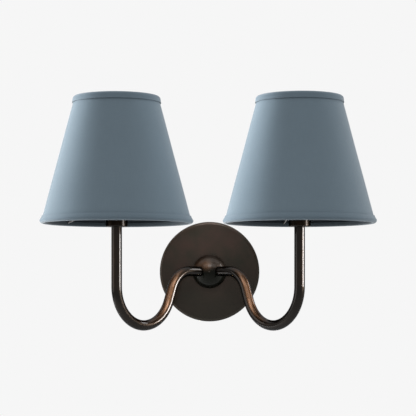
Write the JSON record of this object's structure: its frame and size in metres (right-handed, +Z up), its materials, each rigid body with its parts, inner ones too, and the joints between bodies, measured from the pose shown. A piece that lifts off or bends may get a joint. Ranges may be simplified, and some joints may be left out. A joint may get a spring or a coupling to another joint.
{
  "type": "double arm wall sconce",
  "caption": "Wall light whose curved bronze arms leave a round canopy to left and right, each with an upright lampholder, a bulb and a tapered slate fabric shade.",
  "frame": {"origin": "centre of the mounting bracket's back face, on the wall plane and the hub's axis", "axes": "+X to the right seen from the front, +Y into the wall, +Z up"},
  "size_m": [0.3978, 0.2388, 0.279],
  "materials": {
    "bronze": "dark rubbed bronze",
    "zinc_steel": "zinc plated",
    "green_steel": "green plated",
    "copper": "bare copper",
    "brass": "plain brass",
    "connector_plastic": "moulded",
    "black_insulation": "smooth",
    "white_insulation": "smooth",
    "phenolic": "moulded, semi-gloss",
    "slate_fabric": "plain woven",
    "slate_trim": "rolled hem of the same cloth",
    "dark_liner": "matte sheet",
    "frame_wire": "dark painted steel wire",
    "solder": "tinned",
    "black_glass": "vitreous",
    "nickel_cap": "threaded",
    "bulb_glass": "clear",
    "stem_glass": "clear",
    "filament_wire": "fine wire"
  },
  "bodies": {
    "root": {"canopy": "bronze", "mounting_bracket": "zinc_steel", "canopy_set_screws": "bronze", "ground_screw": "green_steel", "ground_lead": "copper", "centre_nipple": "brass", "nipple_lock_nut": "zinc_steel", "nipple_lock_washer": "zinc_steel", "hub_plate": "zinc_steel", "hub_plate_screws": "zinc_steel", "wire_connectors": "connector_plastic", "hub_dome": "bronze", "arm_left": "bronze", "hub_stud_left": "brass", "socket_stud_left": "brass", "live_conductor_left": "black_insulation", "neutral_conductor_left": "white_insulation", "socket_cup_left": "bronze", "lampholder_left": "phenolic", "screw_shell_left": "brass", "centre_contact_left": "brass", "arm_right": "bronze", "hub_stud_right": "brass", "socket_stud_right": "brass", "live_conductor_right": "black_insulation", "neutral_conductor_right": "white_insulation", "socket_cup_right": "bronze", "lampholder_right": "phenolic", "screw_shell_right": "brass", "centre_contact_right": "brass"},
    "shade_left": {"shade_cover_left": "slate_fabric", "shade_liner_left": "dark_liner", "top_trim_left": "slate_trim", "bottom_trim_left": "slate_trim", "top_ring_wire_left": "frame_wire", "bottom_ring_wire_left": "frame_wire", "shade_fitter_left": "frame_wire", "shade_spokes_left": "frame_wire"},
    "ring_left": {"shade_ring_left": "phenolic"},
    "bulb_tip_left": {"bulb_contact_left": "solder"},
    "bulb_left": {"bulb_insulator_left": "black_glass", "bulb_cap_left": "nickel_cap", "bulb_glass_left": "bulb_glass", "bulb_stem_left": "stem_glass", "bulb_filament_left": "filament_wire"},
    "shade_right": {"shade_cover_right": "slate_fabric", "shade_liner_right": "dark_liner", "top_trim_right": "slate_trim", "bottom_trim_right": "slate_trim", "top_ring_wire_right": "frame_wire", "bottom_ring_wire_right": "frame_wire", "shade_fitter_right": "frame_wire", "shade_spokes_right": "frame_wire"},
    "ring_right": {"shade_ring_right": "phenolic"},
    "bulb_tip_right": {"bulb_contact_right": "solder"},
    "bulb_right": {"bulb_insulator_right": "black_glass", "bulb_cap_right": "nickel_cap", "bulb_glass_right": "bulb_glass", "bulb_stem_right": "stem_glass", "bulb_filament_right": "filament_wire"}
  },
  "joints": [
    {"name": "shade_turn_left", "type": "hinge", "parent": "root", "child": "shade_left", "pos_m": [-0.109, -0.14889, 0.0736], "axis": [0, 0, 1], "continuous": true},
    {"name": "ring_unscrew_left", "type": "slide", "parent": "root", "child": "ring_left", "axis": [0, 0, 1], "range_m": [0, 0.0075]},
    {"name": "bulb_rise_left", "type": "slide", "parent": "root", "child": "bulb_tip_left", "axis": [0, 0, 1], "range_m": [0, 0.01143]},
    {"name": "bulb_unscrew_left", "type": "hinge", "parent": "bulb_tip_left", "child": "bulb_left", "pos_m": [-0.109, -0.14889, 0.0701], "axis": [0, 0, 1], "range_deg": [0, 1625]},
    {"name": "shade_turn_right", "type": "hinge", "parent": "root", "child": "shade_right", "pos_m": [0.109, -0.14889, 0.0736], "axis": [0, 0, 1], "continuous": true},
    {"name": "ring_unscrew_right", "type": "slide", "parent": "root", "child": "ring_right", "axis": [0, 0, 1], "range_m": [0, 0.0075]},
    {"name": "bulb_rise_right", "type": "slide", "parent": "root", "child": "bulb_tip_right", "axis": [0, 0, 1], "range_m": [0, 0.01143]},
    {"name": "bulb_unscrew_right", "type": "hinge", "parent": "bulb_tip_right", "child": "bulb_right", "pos_m": [0.109, -0.14889, 0.0701], "axis": [0, 0, 1], "range_deg": [0, 1625]}
  ],
  "couplings": [
    {"joint": "bulb_unscrew_left", "follows": "bulb_rise_left", "rad_per_m": 2473.7},
    {"joint": "bulb_unscrew_right", "follows": "bulb_rise_right", "rad_per_m": 2473.7}
  ]
}
